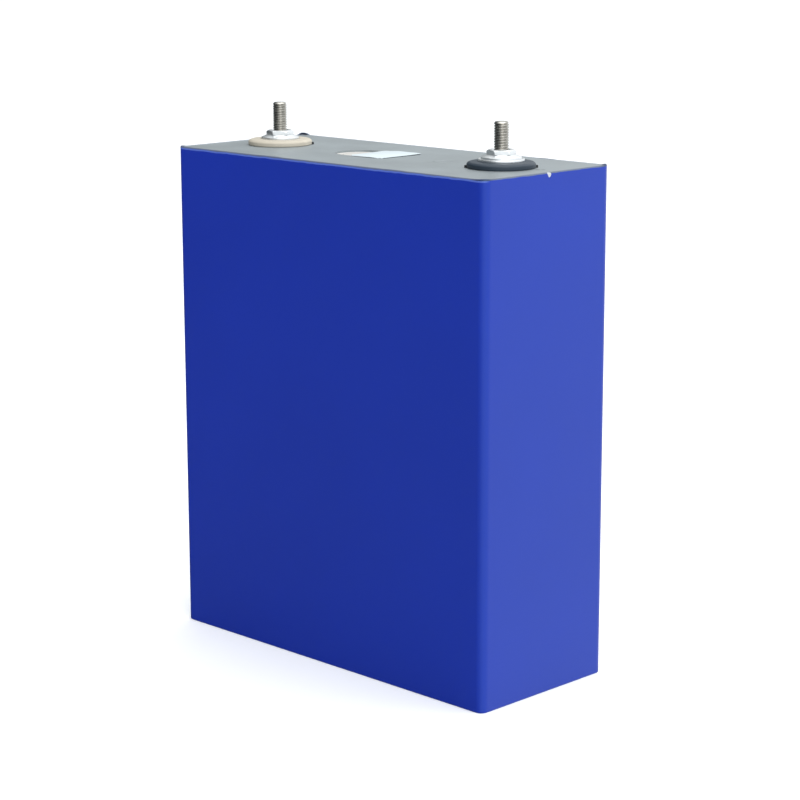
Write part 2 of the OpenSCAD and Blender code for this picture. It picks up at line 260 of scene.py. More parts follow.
def math_node(nodes, links, operation, a, b=None):
    m = nodes.new("ShaderNodeMath")
    m.operation = operation
    for socket, v in zip(m.inputs, (a, b)):
        if v is None:
            continue
        if isinstance(v, (int, float)):
            socket.default_value = v
        else:
            links.new(v, socket)
    return m.outputs["Value"]


def bump(nodes, links, shader, height, distance, strength=1.0, normal=None):
    b = nodes.new("ShaderNodeBump")
    b.inputs["Strength"].default_value = strength
    b.inputs["Distance"].default_value = distance
    links.new(height, b.inputs["Height"])
    if normal is not None:
        links.new(normal, b.inputs["Normal"])
    links.new(b.outputs["Normal"], shader.inputs["Normal"])
    return b.outputs["Normal"]


def shade(color, factor):
    return tuple(min(1.0, c * factor) for c in color)


def varied(name, color, roughness, spread=0.06, scale=60.0, grain=700.0, depth=0.00002,
           rough_spread=0.08, stretch=(1, 1, 1), **kw):
    """The common build: clouded colour, clouded roughness and a fine grain."""
    m, nodes, links, shader = material(name, color, roughness, **kw)
    v = coords(nodes, links, stretch)
    cloud = noise(nodes, links, v, scale)
    links.new(ramp(nodes, links, cloud, [(0.3, shade(color, 1 - spread)),
                                         (0.7, shade(color, 1 + spread))]),
              shader.inputs["Base Color"])
    fine = noise(nodes, links, v, grain, 3.0)
    links.new(remap(nodes, links, cloud, roughness - rough_spread, roughness + rough_spread),
              shader.inputs["Roughness"])
    bump(nodes, links, shader, fine, depth)
    return m


def film_material():
    """Blue PET film: very even colour, a soft sheen, faint ripples and fine scuffs. A painted
    highlight makes it paler along the top of the broad faces, painted shade makes it grey at the
    very rim, and it is dark where it is folded double at the corners on the +X side."""
    # pale is the painted highlight colour for the band along the top of the broad faces
    color, painted_highlight_blue = FILM_COLOR, (0.075, 0.125, 0.46)
    # rim is the painted shade colour of the grey line at the very top edge
    rim, dark = (0.085, 0.1, 0.17), (0.012, 0.02, 0.09)
    m, nodes, links, shader = material("film_blue", color, 0.36, specular=0.46)
    shader.inputs["Specular Tint"].default_value = (0.68, 1.0, 0.72, 1)
    v = coords(nodes, links)
    cloud = noise(nodes, links, v, 14.0, 3.0)
    even = ramp(nodes, links, cloud, [(0.25, shade(color, 0.96)), (0.75, shade(color, 1.04))])
    split = nodes.new("ShaderNodeSeparateXYZ")
    links.new(v, split.inputs["Vector"])
    top = FILM_TOP * MM
    rough_edge = math_node(nodes, links, "MULTIPLY",
                           noise(nodes, links, v, 180.0, 3.0), 0.0006)
    z = math_node(nodes, links, "ADD", split.outputs["Z"], rough_edge)
    # painted shade: mask of the grey line along the very top of the rim
    rim_shade_mask = remap(nodes, links, z, 0.0, 1.0, top - 0.0002, top)
    ay = math_node(nodes, links, "ABSOLUTE", split.outputs["Y"])
    broad = remap(nodes, links, ay, 0.0, 1.0, (HALF_D - 3) * MM, (HALF_D - 1) * MM)
    # painted highlight: mask of the paler band just under the top of the broad faces
    edge = math_node(nodes, links, "MULTIPLY", broad,
                     remap(nodes, links, z, 0.0, 1.0, top - 0.0008, top - 0.0005))
    near_x = remap(nodes, links, split.outputs["X"], 0.0, 1.0, (HALF_W - 8) * MM,
                   (HALF_W - 3) * MM)
    near_y = remap(nodes, links, ay, 0.0, 1.0, (HALF_D - 7) * MM, (HALF_D - 2.5) * MM)
    near_z = remap(nodes, links, z, 0.0, 1.0, top - 0.0003, top + 0.0001)
    corner = math_node(nodes, links, "MULTIPLY",
                       math_node(nodes, links, "MULTIPLY", near_x, near_y), near_z)
    tone = even
    # painted highlight band, then the painted shade line at the rim, then the dark folded corners
    for factor, second in ((edge, painted_highlight_blue), (rim_shade_mask, rim), (corner, dark)):
        tone = mix_color(nodes, links, factor, tone, second)
    links.new(tone, shader.inputs["Base Color"])
    scuffs = noise(nodes, links, coords(nodes, links, (1, 1, 6)), 220.0, 5.0)
    links.new(remap(nodes, links, scuffs, 0.32, 0.41), shader.inputs["Roughness"])
    ripples = noise(nodes, links, coords(nodes, links, (1, 1, 0.35)), 55.0, 2.0)
    first = bump(nodes, links, shader, ripples, 0.00006, 0.5)
    bump(nodes, links, shader, noise(nodes, links, v, 1600.0, 2.0), 0.000004, 0.5, first)
    return m


def lid_material():
    """Rolled aluminium plate: grain along X, dull patches, fine pits and faint marks."""
    color = (0.3, 0.335, 0.35)
    m, nodes, links, shader = material("lid_aluminium", color, 0.45, metallic=0.5,
                                       specular=0.3)
    v = coords(nodes, links)
    cloud = noise(nodes, links, v, 45.0, 5.0)
    along = noise(nodes, links, coords(nodes, links, (0.05, 1, 1)), 1500.0, 3.0)
    mix = math_node(nodes, links, "ADD", math_node(nodes, links, "MULTIPLY", cloud, 0.7),
                    math_node(nodes, links, "MULTIPLY", along, 0.3))
    tone = ramp(nodes, links, mix, [(0.35, shade(color, 0.94)), (0.65, shade(color, 1.05))])
    for x, y, r in LID_MARKS:
        near = nodes.new("ShaderNodeVectorMath")
        near.operation = "DISTANCE"
        links.new(coords(nodes, links), near.inputs[0])
        near.inputs[1].default_value = (x * MM, y * MM, LID_TOP * MM)
        spot = remap(nodes, links, near.outputs["Value"], 1.0, 0.0, 0.5 * r * MM, r * MM)
        tone = mix_color(nodes, links, spot, tone, shade(color, 0.3))
    links.new(tone, shader.inputs["Base Color"])
    links.new(remap(nodes, links, cloud, 0.38, 0.5), shader.inputs["Roughness"])
    pits = noise(nodes, links, v, 900.0, 4.0)
    first = bump(nodes, links, shader, along, 0.000008, 0.6)
    bump(nodes, links, shader, pits, 0.000012, 0.4, first)
    return m


def plated_material():
    """Bright plating with fine turning lines and handling marks."""
    color, roughness = (0.8, 0.82, 0.83), 0.3
    m, nodes, links, shader = material("plated_steel", color, roughness, metallic=0.9)
    v = coords(nodes, links)
    cloud = noise(nodes, links, v, 350.0, 3.0)
    links.new(ramp(nodes, links, cloud, [(0.3, shade(color, 0.96)), (0.7, shade(color, 1.03))]),
              shader.inputs["Base Color"])
    links.new(remap(nodes, links, noise(nodes, links, v, 900.0), roughness - 0.04,
                    roughness + 0.06), shader.inputs["Roughness"])
    lines = noise(nodes, links, coords(nodes, links, (1, 1, 12)), 900.0, 2.0)
    bump(nodes, links, shader, lines, 0.0000015, 0.5)
    return m


def stud_material():
    """Rolled stainless thread: warm grey with a clouded tone, fine scratches."""
    color = (0.42, 0.405, 0.37)
    m, nodes, links, shader = material("stud_steel", color, 0.22, metallic=1.0)
    v = coords(nodes, links)
    cloud = noise(nodes, links, v, 600.0, 4.0)
    links.new(ramp(nodes, links, cloud, [(0.3, shade(color, 0.82)), (0.7, shade(color, 1.1))]),
              shader.inputs["Base Color"])
    links.new(remap(nodes, links, cloud, 0.16, 0.3), shader.inputs["Roughness"])
    bump(nodes, links, shader, noise(nodes, links, v, 2500.0, 3.0), 0.000005, 0.5)
    return m


def ring_material(name, color, roughness, specular=0.4):
    """Moulded plastic: fine spark-eroded texture with faint flow marks."""
    m, nodes, links, shader = material(name, color, roughness, specular=specular)
    v = coords(nodes, links)
    flow = noise(nodes, links, v, 90.0, 3.0, distortion=1.5)
    links.new(ramp(nodes, links, flow, [(0.3, shade(color, 0.95)), (0.7, shade(color, 1.05))]),
              shader.inputs["Base Color"])
    links.new(remap(nodes, links, flow, roughness - 0.04, roughness + 0.06),
              shader.inputs["Roughness"])
    bump(nodes, links, shader, noise(nodes, links, v, 1800.0, 2.0), 0.00001, 0.5)
    return m


def winding_material():
    """Edges of coated foil: fine dark and light lines that run with the windings."""
    color = (0.06, 0.06, 0.065)
    m, nodes, links, shader = material("electrode_winding", color, 0.6)
    v = coords(nodes, links)
    layers = noise(nodes, links, coords(nodes, links, (0.02, 1, 0.02)), 2500.0, 2.0)
    links.new(ramp(nodes, links, layers, [(0.35, shade(color, 0.5)), (0.6, shade(color, 1.6)),
                                          (0.7, (0.3, 0.2, 0.14))]),
              shader.inputs["Base Color"])
    links.new(remap(nodes, links, noise(nodes, links, v, 120.0), 0.5, 0.7),
              shader.inputs["Roughness"])
    bump(nodes, links, shader, layers, 0.00004, 0.6)
    return m


# small scuffs on the lid, (x, y, radius)
LID_MARKS = [(77.4, 4.1, 1.3), (78.9, 5.5, 1.1)]
FILM_COLOR = (0.0012, 0.0165, 0.3)

MATERIALS = {
    "film_blue": film_material(),
    "can_aluminium": varied("can_aluminium", (0.6, 0.62, 0.64), 0.35, metallic=1.0,
                            stretch=(1, 1, 0.08), grain=900.0, depth=0.00001),
    "lid_aluminium": lid_material(),
    "vent_aluminium": varied("vent_aluminium", (0.58, 0.56, 0.53), 0.5, metallic=0.1,
                             stretch=(0.2, 1, 1), grain=1200.0, depth=0.000008),
    "vent_film_white": varied("vent_film_white", (0.6, 0.67, 0.7), 0.45, spread=0.02,
                              grain=500.0, depth=0.00003, specular=0.3),
    "stopper_rubber": varied("stopper_rubber", (0.02, 0.02, 0.022), 0.7),
    "gasket_black": varied("gasket_black", (0.012, 0.013, 0.016), 0.6, spread=0.15),
    "ring_cream": ring_material("ring_cream", (0.5, 0.455, 0.375), 0.55, 0.25),
    "ring_black": ring_material("ring_black", (0.028, 0.041, 0.058), 0.45, 0.3),
    "pole_aluminium": varied("pole_aluminium", (0.7, 0.71, 0.72), 0.3, metallic=1.0,
                             stretch=(1, 1, 10), grain=1400.0),
    "pole_copper": varied("pole_copper", (0.72, 0.36, 0.22), 0.32, metallic=1.0,
                          stretch=(1, 1, 10), grain=1400.0, spread=0.12),
    "stud_steel": stud_material(),
    "plated_steel": plated_material(),
    "inner_plastic": ring_material("inner_plastic", (0.72, 0.74, 0.74), 0.5),
    "bag_film": varied("bag_film", (0.4, 0.6, 0.72), 0.4, spread=0.04, grain=300.0,
                       depth=0.00005),
    "electrode_winding": winding_material(),
    "separator": varied("separator", (0.82, 0.82, 0.78), 0.65, spread=0.03,
                        stretch=(1, 1, 0.1), grain=800.0, depth=0.00003),
    "tape_green": varied("tape_green", (0.03, 0.22, 0.09), 0.3, spread=0.1,
                         stretch=(1, 1, 5), grain=400.0, depth=0.00003),
    "tab_aluminium": varied("tab_aluminium", (0.75, 0.76, 0.78), 0.25, metallic=1.0,
                            stretch=(8, 1, 1), grain=500.0, depth=0.00005),
    "tab_copper": varied("tab_copper", (0.78, 0.4, 0.25), 0.28, metallic=1.0,
                         stretch=(8, 1, 1), grain=500.0, depth=0.00005, spread=0.12),
    "weld": varied("weld_bead", (0.36, 0.4, 0.44), 0.5, metallic=0.7, spread=0.2,
                   scale=900.0, grain=1800.0, depth=0.00001),
}

for part in frame["record"]["subparts"]:
    node = frame["nodes"].get(part["node"])
    if node is None:
        continue
    finish = MATERIALS[part["material_slot"]]
    if not node.material_slots:
        node.data.materials.append(finish)
    for material_slot in node.material_slots:
        material_slot.material = finish


# ---- blue film ----

EDGE_R = 0.8          # rounding where the film turns in over the can's edge
CAN_EDGE_R = 0.72     # rounding of the can's own top edge, under the film
HEM = 1.35            # how far the film's edge reaches in from the wall
WALL = 0.14           # thickness of a single layer
FOOT_R = 0.7          # rounding where the film turns in under the can
FLAP_REACH = 24.0     # how far the folded flaps reach in underneath
LAP_Y = (-6.3, 14.3)  # sides of the strip where the film is double


def lap(x, y):
    """1 inside the strip on the -X side where the film is double, 0 elsewhere."""
    if x > -HALF_W + 1:
        return 0.0
    soft = 0.6
    return smooth_step((y - LAP_Y[0]) / soft) * smooth_step((LAP_Y[1] - y) / soft)


def wave(x, y, z):
    """Small ripples in the film, stronger near its top and foot. Between -1 and 0."""
    s = x + y
    edge = 0.35 + 0.65 * (math.exp(-(FILM_TOP - z) / 9) + math.exp(-z / 12))
    return edge * (-0.5 + 0.22 * math.sin(s / 5.3 + z / 31) + 0.16 * math.sin(s / 2.9 - z / 17)
                   + 0.12 * math.sin(s / 11.7 + z / 7.3))


# folded tips of the film at the corners, (x, y, height, width)
TIPS = [(-1, -1, 0.45, 2.2), (1, 1, 0.5, 2.0), (-1, 1, 0.45, 2.4), (1, -1, 0.3, 2.6)]
# small bumps and nicks along the top edge, (x, y, height, half width)
EDGE_MARKS = [(HALF_W, 0.0, -1.1, 0.75), (HALF_W, 0.3, -1.0, 0.7),
              (-85.5, HALF_D, 0.5, 3.0), (-30, -HALF_D, 0.08, 6.0),
              (40, -HALF_D, 0.07, 5.0), (55, HALF_D, 0.08, 4.0)]


def top_shift(x, y):
    """How far the film's top edge stands above its usual height at this place."""
    out = 0.0
    for sx, sy, h, w in TIPS:
        d = math.hypot(x - sx * (HALF_W - 1), y - sy * (HALF_D - 1))
        out += h * math.exp(-(d / w) ** 2)
    for ex, ey, h, w in EDGE_MARKS:
        d = math.hypot(x - ex, y - ey)
        out += h * (1 - smooth_step((d - 0.7 * w) / (0.6 * w)))
    return out


def film():
    """One closed shell: foot, wall, rounded top edge, hem over the can and inner face."""
    profile = []                       # (inset, height, share of ripple, share of shift)
    for k in range(6):
        a = math.radians(90 * k / 5)
        profile.append((FOOT_R * (1 - math.sin(a)), FOOT_R * (1 - math.cos(a)), 0.2, 0))
    top = FILM_TOP
    z = FOOT_R
    while z < top - 12:
        z += 4.2
        profile.append((0, min(z, top - 10), 1, 0))
    for h in (8, 6, 4.4, 3.2, 2.3, 1.6, 1.2):
        profile.append((0, top - h, 0.8, (10 - h) / 10))
    for k in range(7):
        a = math.radians(90 * k / 6)
        profile.append((EDGE_R * (1 - math.cos(a)), top - EDGE_R * (1 - math.sin(a)), 0.15, 1))
    profile.append((HEM - 0.05, top - 0.005, 0, 1))
    profile.append((HEM, top - 0.04, 0, 1))
    profile.append((HEM, LID_TOP + 0.01, 0, 1))
    for k in range(7):
        a = math.radians(90 * k / 6)
        profile.append((FILM_T + CAN_EDGE_R * (1 - math.sin(a)) - 0.005,
                        LID_TOP - CAN_EDGE_R * (1 - math.cos(a)) + 0.005, 0, 1 - k / 12))
    profile.append((FILM_T - 0.005, BASE_T + 0.2, 0, 0))
    profile.append((FOOT_R, BASE_T - 0.02, 0, 0))

    rings = []
    for inset, z, ripple, shift in profile:
        ring = []
        loop = rounded_loop(HALF_W, HALF_D, CORNER_R, inset, arc=10, step=0.5)
        for x, y in loop:
            move = top_shift(x, y) * shift
            zz = max(z + move, 0.0)
            pull = 0.0
            if ripple:
                pull = (FILM_T - WALL) * (1 - lap(x, y)) - 0.05 * ripple * wave(x, y, z)
                pull = max(0.0, min(pull, FILM_T - 0.06))
            k = 1 - pull / HALF_D
            kx = 1 - pull / HALF_W
            ring.append((x * kx, y * k, zz))
        rings.append(ring)
    verts, faces = loft(rings, closed=True)
    obj = new_object("film", verts, faces, "cell", MATERIALS["film_blue"], sharp=60)
    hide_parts("film_sleeve")


def film_foot():
    """Underside: a sheet with four folded flaps, the short pair outermost."""
    verts, faces = [], []

    def slab(outline, z0, z1):
        n = len(outline)
        at = len(verts)
        edge = 0.04
        cx = sum(p[0] for p in outline) / n
        cy = sum(p[1] for p in outline) / n
        for z, grow in ((z0, -edge), (z0 + edge, 0), (z1, 0)):
            for x, y in outline:
                d = math.hypot(x - cx, y - cy)
                verts.append((x + (x - cx) / d * grow, y + (y - cy) / d * grow, z))
        for lo in (0, n):
            for k in range(n):
                m = (k + 1) % n
                faces.append((at + lo + k, at + lo + m, at + lo + n + m, at + lo + n + k))
        faces.append(tuple(at + k for k in reversed(range(n))))
        faces.append(tuple(at + 2 * n + k for k in range(n)))

    w, d = HALF_W - 0.75, HALF_D - 0.75
    sheet = rounded_loop(HALF_W, HALF_D, CORNER_R, 0.75, arc=6, step=200)
    slab(sheet, 0.2, BASE_T)
    far_x, far_y = w - FLAP_REACH, d - FLAP_REACH
    for s in (-1, 1):
        long_flap = [(-w + 3, s * d), (w - 3, s * d), (far_x, s * far_y), (-far_x, s * far_y)]
        slab(fillet(long_flap, [0.5, 0.5, 2, 2]), 0.11, 0.2)
    for s in (-1, 1):
        short_flap = [(s * w, -d + 3), (s * w, d - 3), (s * far_x, far_y - 2),
                      (s * far_x, -far_y + 2)]
        slab(fillet(short_flap, [0.5, 0.5, 2, 2]), 0.0, 0.11)
    obj = new_object("film_foot", verts, faces, "cell", MATERIALS["film_blue"], sharp=20,
                     weighted=False)
    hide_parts("film_base")


def can():
    """Drawn can: rounded foot and top edge, thin wall, floor. Open at the top."""
    low, high = CAN_LOW[2] + 0.005, CAN_HIGH[2] - 0.005
    floor_z = node_box("insulation_bag")[0][2] - 0.005
    profile = []
    for k in range(5):
        a = math.radians(90 * k / 4)
        profile.append((1.2 * (1 - math.sin(a)), low + 1.2 * (1 - math.cos(a))))
    for k in range(7):
        a = math.radians(90 * k / 6)
        profile.append((CAN_EDGE_R * (1 - math.cos(a)), high - CAN_EDGE_R * (1 - math.sin(a))))
    inner = CAN_WALL - 0.005
    profile += [(inner, high), (inner, floor_z + 1.0), (CAN_WALL + 0.6, floor_z)]
    inset = FILM_T + 0.005
    rings = [[(x, y, z) for x, y in
              rounded_loop(HALF_W, HALF_D, CORNER_R, inset + more, arc=10, step=12)]
             for more, z in profile]
    verts, faces = loft(rings, closed=False)
    n = len(rings[0])
    faces.append(tuple(range(n)))
    faces.append(tuple((len(rings) - 1) * n + k for k in range(n)))
    obj = new_object("can_shell", verts, faces, "cell", MATERIALS["can_aluminium"], sharp=40)
    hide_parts("can")


film()
film_foot()
can()


# ---- lid details ----

def lid_weld():
    """Seam between lid and can: a low bead of overlapping laser spots."""
    inset = FILM_T + CAN_WALL
    loop = rounded_loop(HALF_W, HALF_D, CORNER_R, 0, arc=24, step=0.45)
    inner = rounded_loop(HALF_W, HALF_D, CORNER_R, inset + 0.75, arc=24, step=0.45)
    outer = rounded_loop(HALF_W, HALF_D, CORNER_R, inset - 0.05, arc=24, step=0.45)
    rings = []
    for k in range(len(loop)):
        a, b = Vector(inner[k]), Vector(outer[k])
        spot = 0.5 + 0.5 * math.sin(k * 2 * math.pi / 3)
        ring = []
        for t, h in ((0, -0.02), (0.12, 0.03), (0.35, 0.075 + 0.02 * spot),
                     (0.65, 0.075 + 0.02 * spot), (0.88, 0.03), (1, -0.02)):
            p = a.lerp(b, t)
            ring.append((p.x, p.y, LID_TOP + h))
        rings.append(ring)
    verts, faces = loft(rings)
    obj = new_object("lid_weld", verts, faces, "cell", MATERIALS["weld"], sharp=80,
                     weighted=False)


def stadium_loop(length, width, n=40):
    out = []
    r = width / 2
    for side, a0 in ((1, -90), (-1, 90)):
        for k in range(n + 1):
            a = math.radians(a0 + 180 * k / n)
            out.append((side * (length / 2 - r) + r * math.cos(a), r * math.sin(a)))
    return out


VENT_LOW, VENT_HIGH = node_box("vent_disc")
VENT_L = VENT_HIGH[0] - VENT_LOW[0]
VENT_W = VENT_HIGH[1] - VENT_LOW[1]
VENT_X = centre_x("vent_disc")


def vent_weld():
    """Bead round the edge of the burst disc, down in its recess."""
    rings = []
    count = 640
    z = VENT_HIGH[2]
    for shrink, h in ((0.0, 0.02), (0.15, 0.1), (0.45, 0.13), (0.8, 0.07), (1.0, -0.01),
                      (0.5, -0.02)):
        line = stadium_loop(VENT_L - 2 * shrink, VENT_W - 2 * shrink, 60)
        lengths = [0.0]
        for p, q in zip(line, line[1:] + line[:1]):
            lengths.append(lengths[-1] + math.dist(p, q))
        ring = []
        at = 0
        for k in range(count):
            s = lengths[-1] * k / count
            while lengths[at + 1] < s:
                at += 1
            t = (s - lengths[at]) / max(lengths[at + 1] - lengths[at], 1e-9)
            p, q = line[at], line[(at + 1) % len(line)]
            ripple = 0.02 * math.sin(k * 2 * math.pi / 4) if h > 0.05 else 0
            ring.append((VENT_X + p[0] + (q[0] - p[0]) * t, p[1] + (q[1] - p[1]) * t,
                         z + h + ripple))
        rings.append(ring)
    verts, faces = loft(rings)
    obj = new_object("vent_weld", verts, faces, "cell", MATERIALS["vent_aluminium"], sharp=80,
                     weighted=False)


def vent_film():
    """White film over the vent, slightly askew and slack, with creased front corners."""
    low, high = node_box("vent_film")
    w, d = high[0] - low[0], high[1] - low[1]
    nx, ny = 48, 60
    thick = 0.08

    # each corner's place as shares of the sheet's half sizes, and its height
    corners = {(-1, -1): (-1.06, -0.98, 0.2), (1, -1): (0.87, -0.88, 0.12),
               (1, 1): (0.93, 1.16, 0.3), (-1, 1): (-1.2, 1.1, 0.2)}

    def place(i, j, side):
        u, v = -1 + 2 * i / nx, -1 + 2 * j / ny
        x = y = h = 0.0
        for (cu, cv), (px, py, pz) in corners.items():
            share = (1 + cu * u) * (1 + cv * v) / 4
            x, y, h = x + px * share, y + py * share, h + pz * share
        round_off = 1 - 0.07 * (u * u) ** 3 * (v * v) ** 3
        x, y = x * w / 2 * round_off, y * d / 2 * round_off
        h += 0.22 * (1 - u * u) * (1 - v * v)
        h += 0.03 * math.sin(x / 1.7 + 0.7) * math.sin(y / 2.6)
        for cu in (-1, 1):                 # small creases at the two front corners
            h += 0.3 * math.exp(-((u - 0.93 * cu) ** 2 + (v + 0.95) ** 2) / 0.006)
        h -= 0.22 * (1 - smooth_step((1 - abs(v)) / 0.15)) * (1 - smooth_step((1 - abs(u)) / 0.5))
        return (x, y, LID_TOP + 0.02 + max(h, 0.02) + side * thick)

    verts = [place(i, j, s) for s in (0, 1) for i in range(nx + 1) for j in range(ny + 1)]
    per = (nx + 1) * (ny + 1)

    def index(i, j, s):
        return s * per + i * (ny + 1) + j

    faces = []
    for i in range(nx):
        for j in range(ny):
            faces.append((index(i, j, 1), index(i + 1, j, 1), index(i + 1, j + 1, 1),
                          index(i, j + 1, 1)))
            faces.append((index(i, j, 0), index(i, j + 1, 0), index(i + 1, j + 1, 0),
                          index(i + 1, j, 0)))
    edge = ([(i, 0) for i in range(nx)] + [(nx, j) for j in range(ny)]
            + [(i, ny) for i in range(nx, 0, -1)] + [(0, j) for j in range(ny, 0, -1)])
    for (a, b), (c, e) in zip(edge, edge[1:] + edge[:1]):
        faces.append((index(a, b, 0), index(c, e, 0), index(c, e, 1), index(a, b, 1)))
    obj = new_object("vent_cover_film", verts, faces, "cell", MATERIALS["vent_film_white"],
                     sharp=60, weighted=False)
    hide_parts("vent_film")


def port_cap():
    """Welded cap over the electrolyte port, with a shallow dish and a spot-welded rim."""
    low, high = node_box("fill_cap")
    r = radius("fill_cap")
    z = high[2]
    profile = [(0.001, low[2] + 0.05), (r - 0.02, low[2] + 0.05), (r - 0.02, z - 0.05),
               (r - 0.3, z + 0.05), (r - 0.75, z + 0.05), (r - 1.0, z - 0.04),
               (0.9, z - 0.1), (0.001, z - 0.1)]
    profile = fillet(profile, [0, 0, 0.1, 0.1, 0.1, 0.1, 0.3, 0])
    obj = lathe("port_cap", profile, centre_x("fill_cap"), "cell", MATERIALS["lid_aluminium"],
                n=96)
    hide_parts("fill_cap")


lid_weld()
vent_weld()
vent_film()
port_cap()


# ---- terminals ----

PITCH = 1.0           # M6 thread
THREAD_DEPTH = 0.44   # shallower than a true M6 thread
HEX_TURN = -15        # turn of the hexagons, in degrees
HEX_FLATS = 10        # width of the hexagons across their flats
COLLAR_R = 4.2        # collar of the nut, which turns in the conical washer
GASKET_CUT = 12.4     # distance from the stud to the gasket's cut corners


def gasket_outline(side, half, inset=0.0):
    """Square with cut corners. One corner is left whole on the positive terminal, and
    two opposite ones on the negative terminal."""
    h = half - inset
    cut = (GASKET_CUT - inset) * math.sqrt(2) - h
    back = [(-h, -h)] if side == "neg" else [(-h, -cut), (-cut, -h)]
    points = [(h, h), (-cut, h), (-h, cut), *back, (cut, -h), (h, -cut)]
    return fillet(points, [0.4] * len(points), 6)


def gasket(side):
    """Gasket with eased edges round the pole. Its ears show through the ring."""
    node = side + "_gasket"
    low, high = node_box(node)
    x0, half = centre_x(side + "_stud"), high[1]
    ease = 0.12
    hole = 5.0                         # radius of the hole round the pole
    rings = []
    for inset, z in ((0, low[2] + 0.005), (0, high[2] - ease), (ease, high[2] - 0.005)):
        rings.append([(x0 + x, y, z) for x, y in gasket_outline(side, half, inset)])
    outline = rings[0]
    for z in (high[2] - 0.005, low[2] + 0.005):
        ring = []
        for x, y, _ in outline:
            a = math.atan2(y, x - x0)
            ring.append((x0 + hole * math.cos(a), hole * math.sin(a), z))
        rings.append(ring)
    verts, faces = loft(rings)
    obj = new_object(side + "_gasket_sheet", verts, faces, "cell", MATERIALS["gasket_black"])
    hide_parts(node)


def ring(side, slot):
    """Moulded ring: rounded rim, flat band for the washer, and a pocket for the gasket
    that opens through the wall at the gasket's ears."""
    node = side + "_ring"
    low, high = node_box(node)
    r, x0 = radius(node), centre_x(node)
    z0, z1 = low[2] + 0.01, high[2]
    pad = radius(side + "_post")
    profile = [(pad + 0.02, z0), (r - 0.3, z0), (r, z0 + 0.3), (r, z1 - 0.95),
               (r - 0.95, z1 - 0.22), (9.6, z1), (pad + 0.25, z1), (pad + 0.02, z1 - 0.2)]
    profile = fillet(profile, [0, 0.4, 0.4, 0.8, 1.4, 2.0, 0.15, 0.1], 6)
    obj = lathe(side + "_ring_moulding", profile, x0, "cell", MATERIALS[slot], n=192)
    gasket_high = node_box(side + "_gasket")[1]
    half = gasket_high[1] + 0.02
    loops = [[(x0 + x, y, z) for x, y in gasket_outline(side, half)]
             for z in (z0 - 1, gasket_high[2] + 0.01)]
    verts, faces = loft(loops, closed=False)
    n = len(loops[0])
    faces += [tuple(range(n)), tuple(n + k for k in range(n))]
    cutter = new_object(side + "_cutter", verts, faces, "cell", MATERIALS[slot],
                        weighted=False)
    cut = obj.modifiers.new("pocket", "BOOLEAN")
    cut.operation = "DIFFERENCE"
    cut.solver = "EXACT"
    cut.object = cutter
    obj.modifiers.move(len(obj.modifiers) - 1, 0)
    bpy.context.view_layer.update()
    graph = bpy.context.evaluated_depsgraph_get()
    mesh = bpy.data.meshes.new_from_object(obj.evaluated_get(graph))
    old = obj.data
    obj.modifiers.clear()
    obj.data = mesh
    bpy.data.meshes.remove(old)
    bpy.data.objects.remove(cutter)
    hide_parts(node)


def stud(side):
    """M6 stud with a rolled helical thread, chamfered tip and welded foot."""
    node = side + "_stud"
    low, high = node_box(node)
    x0 = centre_x(node)
    tip, foot_z = high[2] - 0.004, low[2]
    foot_r = radius(node)
    z0 = node_box(side + "_post")[1][2]
    crest, chamfer = 2.9, 0.6          # radius over the thread, and its cut at the tip
    n = 72                             # points round one turn
    # one pitch of the profile: (share of the pitch, depth)
    groove = [(0.0, 0.0), (0.08, -0.01), (0.17, -0.01), (0.25, 0.0), (0.31, 0.06),
              (0.5, 0.36), (0.56, 0.42), (0.625, 0.44), (0.69, 0.42), (0.75, 0.36),
              (0.94, 0.06)]
    turns = int((tip - z0) / PITCH) + 3
    k = len(groove)

    def point(t, j):
        a = 2 * math.pi * t / n
        share, depth = groove[j]
        z = z0 - 1.5 * PITCH + PITCH * (t / n + share)
        r = crest - depth
        z = max(z0, min(z, tip))
        cone = crest - chamfer + max(0.0, tip - z)
        r = min(r, cone)
        if z <= z0:
            r = crest - THREAD_DEPTH
        if z >= tip:
            r = crest - chamfer
        return (x0 + r * math.cos(a), r * math.sin(a), z)

    total = turns * n
    verts = [point(t, j) for t in range(total + 1) for j in range(k)]
    faces = []
    for t in range(total):
        for j in range(k - 1):
            a, b = t * k + j, (t + 1) * k + j
            faces.append((a, b, b + 1, a + 1))
        if t + 1 + n <= total:
            a, b = t * k + k - 1, (t + 1) * k + k - 1
            faces.append((a, b, (t + 1 + n) * k, (t + n) * k))
    # flat end at the tip, and a ring of points at the foot
    at = len(verts)
    for z, r in ((tip, crest - chamfer), (z0, crest - THREAD_DEPTH)):
        for t in range(n):
            a = 2 * math.pi * t / n
            verts.append((x0 + r * math.cos(a), r * math.sin(a), z))
    faces.append(tuple(range(at, at + n)))
    # foot
    foot = fillet([(0.001, foot_z + 0.01), (foot_r - 0.03, foot_z + 0.01),
                   (foot_r - 0.03, z0 + 0.02), (crest + 0.35, z0 + 0.12),
                   (crest - THREAD_DEPTH - 0.01, z0 + 0.12), (0.001, z0 + 0.12)],
                  [0, 0, 0.05, 0.1, 0, 0], 3)
    base = len(verts)
    rings = []
    for t in range(n):
        a = 2 * math.pi * t / n
        rings.append([(x0 + r * math.cos(a), r * math.sin(a), z) for r, z in foot])
    more, quads = loft(rings)
    verts += more
    faces += [tuple(base + i for i in q) for q in quads]
    obj = new_object(side + "_stud_thread", verts, faces, "cell", MATERIALS["stud_steel"],
                     sharp=50, weighted=False)
    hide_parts(node)


def hex_outline(across, corner, steps=5):
    """Points round a hexagon with eased corners, with more points along its sides."""
    r = across / 2 / math.cos(math.radians(30))
    corners = [(r * math.cos(math.radians(60 * k)), r * math.sin(math.radians(60 * k)))
               for k in range(6)]
    points = fillet(corners, [corner] * 6, steps)
    out = []
    for p, q in zip(points, points[1:] + points[:1]):
        cuts = 8 if math.dist(p, q) > 1 else 1
        for c in range(cuts):
            t = c / cuts
            out.append((p[0] + (q[0] - p[0]) * t, p[1] + (q[1] - p[1]) * t))
    return out


